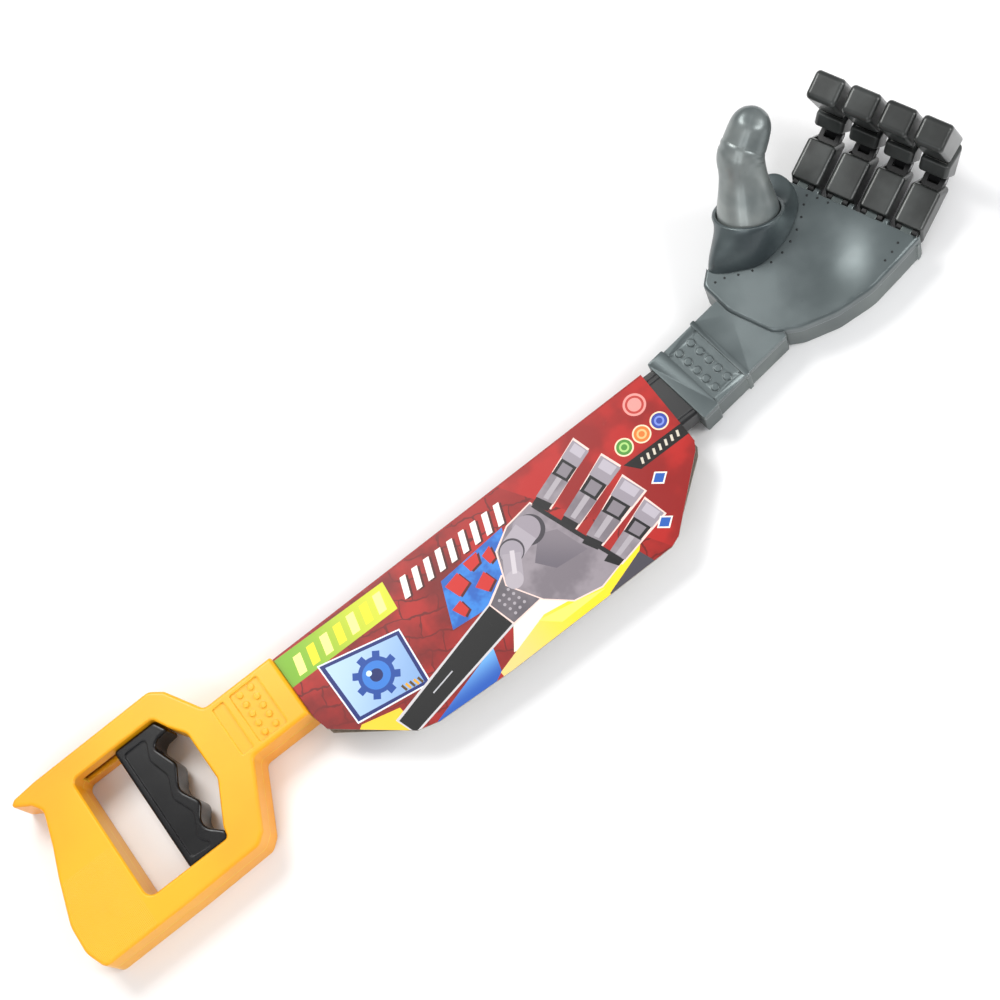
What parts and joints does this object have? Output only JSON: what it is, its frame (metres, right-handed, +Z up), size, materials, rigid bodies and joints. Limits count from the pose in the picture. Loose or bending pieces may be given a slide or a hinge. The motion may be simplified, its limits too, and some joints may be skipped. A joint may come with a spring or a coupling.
{
  "type": "trigger-operated robot hand grabber",
  "caption": "Hand-held toy grabber: D handle with a sliding trigger, flat arm tube in a printed card, and a robot hand with a fixed thumb and jointed fingers that curl.",
  "frame": {"origin": "on the flat back of the handle's neck, in the arm's middle plane, on the surface that the toy lies on", "axes": "+X from the handle to the fingers, +Y to the thumb side, +Z up out of the palm"},
  "size_m": [0.5893, 0.1418, 0.0823],
  "materials": {
    "handle_yellow": "satin moulded yellow plastic",
    "steel": "plated steel",
    "trigger_black": "glossy black",
    "tube_black": "satin black",
    "printed_card": "coated printed card",
    "hand_gunmetal": "gunmetal sprayed plastic",
    "thumb_gunmetal": "gunmetal sprayed plastic",
    "finger_gunmetal": "dark gunmetal sprayed plastic",
    "link_black": "black nylon",
    "inner_white": "natural acetal",
    "cord_white": "braided nylon cord"
  },
  "bodies": {
    "arm": {"arm_tube": "tube_black", "card_sleeve": "printed_card", "cord_rollers": "inner_white", "finger_cords": "cord_white", "hand_screws": "steel", "handle_back_shell": "handle_yellow", "handle_front_shell": "handle_yellow", "handle_screws": "steel", "knuckle_pins": "steel", "palm_back_shell": "hand_gunmetal", "palm_front_shell": "hand_gunmetal", "return_spring_lower": "steel", "return_spring_upper": "steel", "thumb_inner_half": "thumb_gunmetal", "thumb_outer_half": "thumb_gunmetal", "thumb_socket": "hand_gunmetal", "trigger_cord": "cord_white"},
    "trigger": {"trigger": "trigger_black"},
    "rod": {"pull_rod": "steel", "finger_yoke": "inner_white"},
    "finger1_proximal": {"finger1_proximal_shell": "finger_gunmetal", "finger1_proximal_link": "link_black", "finger1_middle_pin": "steel"},
    "finger1_middle": {"finger1_middle_shell": "finger_gunmetal", "finger1_middle_link": "link_black", "finger1_distal_pin": "steel"},
    "finger1_distal": {"finger1_distal_shell": "finger_gunmetal", "finger1_distal_link": "link_black"},
    "finger2_proximal": {"finger2_proximal_shell": "finger_gunmetal", "finger2_proximal_link": "link_black", "finger2_middle_pin": "steel"},
    "finger2_middle": {"finger2_middle_shell": "finger_gunmetal", "finger2_middle_link": "link_black", "finger2_distal_pin": "steel"},
    "finger2_distal": {"finger2_distal_shell": "finger_gunmetal", "finger2_distal_link": "link_black"},
    "finger3_proximal": {"finger3_proximal_shell": "finger_gunmetal", "finger3_proximal_link": "link_black", "finger3_middle_pin": "steel"},
    "finger3_middle": {"finger3_middle_shell": "finger_gunmetal", "finger3_middle_link": "link_black", "finger3_distal_pin": "steel"},
    "finger3_distal": {"finger3_distal_shell": "finger_gunmetal", "finger3_distal_link": "link_black"},
    "finger4_proximal": {"finger4_proximal_shell": "finger_gunmetal", "finger4_proximal_link": "link_black", "finger4_middle_pin": "steel"},
    "finger4_middle": {"finger4_middle_shell": "finger_gunmetal", "finger4_middle_link": "link_black", "finger4_distal_pin": "steel"},
    "finger4_distal": {"finger4_distal_shell": "finger_gunmetal", "finger4_distal_link": "link_black"}
  },
  "joints": [
    {"name": "trigger_slide", "type": "slide", "parent": "arm", "child": "trigger", "axis": [-1, 0, 0], "range_m": [0, 0.022], "stiffness_N_per_m": 120, "springref_m": -0.01, "deforming": ["return_spring_upper", "return_spring_lower", "trigger_cord"]},
    {"name": "rod_slide", "type": "slide", "parent": "arm", "child": "rod", "axis": [-1, 0, 0], "range_m": [0, 0.022], "deforming": ["finger_cords"]},
    {"name": "finger1_knuckle_hinge", "type": "hinge", "parent": "arm", "child": "finger1_proximal", "pos_m": [0.39144, 0.04698, 0.0152], "axis": [0.4067, -0.9135, 0], "range_deg": [0, 24.02]},
    {"name": "finger1_middle_hinge", "type": "hinge", "parent": "finger1_proximal", "child": "finger1_middle", "pos_m": [0.42006, 0.05973, 0.01605], "axis": [0.4067, -0.9135, 0], "range_deg": [0, 15.02]},
    {"name": "finger1_distal_hinge", "type": "hinge", "parent": "finger1_middle", "child": "finger1_distal", "pos_m": [0.43096, 0.06457, 0.03513], "axis": [0.4067, -0.9135, 0], "range_deg": [0, 10.02]},
    {"name": "finger2_knuckle_hinge", "type": "hinge", "parent": "arm", "child": "finger2_proximal", "pos_m": [0.39937, 0.02917, 0.0152], "axis": [0.4067, -0.9135, 0], "range_deg": [0, 24.02]},
    {"name": "finger2_middle_hinge", "type": "hinge", "parent": "finger2_proximal", "child": "finger2_middle", "pos_m": [0.428, 0.04191, 0.01605], "axis": [0.4067, -0.9135, 0], "range_deg": [0, 15.02]},
    {"name": "finger2_distal_hinge", "type": "hinge", "parent": "finger2_middle", "child": "finger2_distal", "pos_m": [0.43889, 0.04676, 0.03513], "axis": [0.4067, -0.9135, 0], "range_deg": [0, 10.02]},
    {"name": "finger3_knuckle_hinge", "type": "hinge", "parent": "arm", "child": "finger3_proximal", "pos_m": [0.40731, 0.01136, 0.0152], "axis": [0.4067, -0.9135, 0], "range_deg": [0, 24.02]},
    {"name": "finger3_middle_hinge", "type": "hinge", "parent": "finger3_proximal", "child": "finger3_middle", "pos_m": [0.43593, 0.0241, 0.01605], "axis": [0.4067, -0.9135, 0], "range_deg": [0, 15.02]},
    {"name": "finger3_distal_hinge", "type": "hinge", "parent": "finger3_middle", "child": "finger3_distal", "pos_m": [0.44682, 0.02895, 0.03513], "axis": [0.4067, -0.9135, 0], "range_deg": [0, 10.02]},
    {"name": "finger4_knuckle_hinge", "type": "hinge", "parent": "arm", "child": "finger4_proximal", "pos_m": [0.41524, -0.00646, 0.0152], "axis": [0.4067, -0.9135, 0], "range_deg": [0, 24.02]},
    {"name": "finger4_middle_hinge", "type": "hinge", "parent": "finger4_proximal", "child": "finger4_middle", "pos_m": [0.44386, 0.00628, 0.01605], "axis": [0.4067, -0.9135, 0], "range_deg": [0, 15.02]},
    {"name": "finger4_distal_hinge", "type": "hinge", "parent": "finger4_middle", "child": "finger4_distal", "pos_m": [0.45475, 0.01113, 0.03513], "axis": [0.4067, -0.9135, 0], "range_deg": [0, 10.02]}
  ],
  "couplings": [
    {"joint": "rod_slide", "follows": "trigger_slide", "ratio": 1},
    {"joint": "finger1_knuckle_hinge", "follows": "trigger_slide", "rad_per_m": 19.04},
    {"joint": "finger1_middle_hinge", "follows": "trigger_slide", "rad_per_m": 11.9},
    {"joint": "finger1_distal_hinge", "follows": "trigger_slide", "rad_per_m": 7.9333},
    {"joint": "finger2_knuckle_hinge", "follows": "trigger_slide", "rad_per_m": 19.04},
    {"joint": "finger2_middle_hinge", "follows": "trigger_slide", "rad_per_m": 11.9},
    {"joint": "finger2_distal_hinge", "follows": "trigger_slide", "rad_per_m": 7.9333},
    {"joint": "finger3_knuckle_hinge", "follows": "trigger_slide", "rad_per_m": 19.04},
    {"joint": "finger3_middle_hinge", "follows": "trigger_slide", "rad_per_m": 11.9},
    {"joint": "finger3_distal_hinge", "follows": "trigger_slide", "rad_per_m": 7.9333},
    {"joint": "finger4_knuckle_hinge", "follows": "trigger_slide", "rad_per_m": 19.04},
    {"joint": "finger4_middle_hinge", "follows": "trigger_slide", "rad_per_m": 11.9},
    {"joint": "finger4_distal_hinge", "follows": "trigger_slide", "rad_per_m": 7.9333}
  ]
}
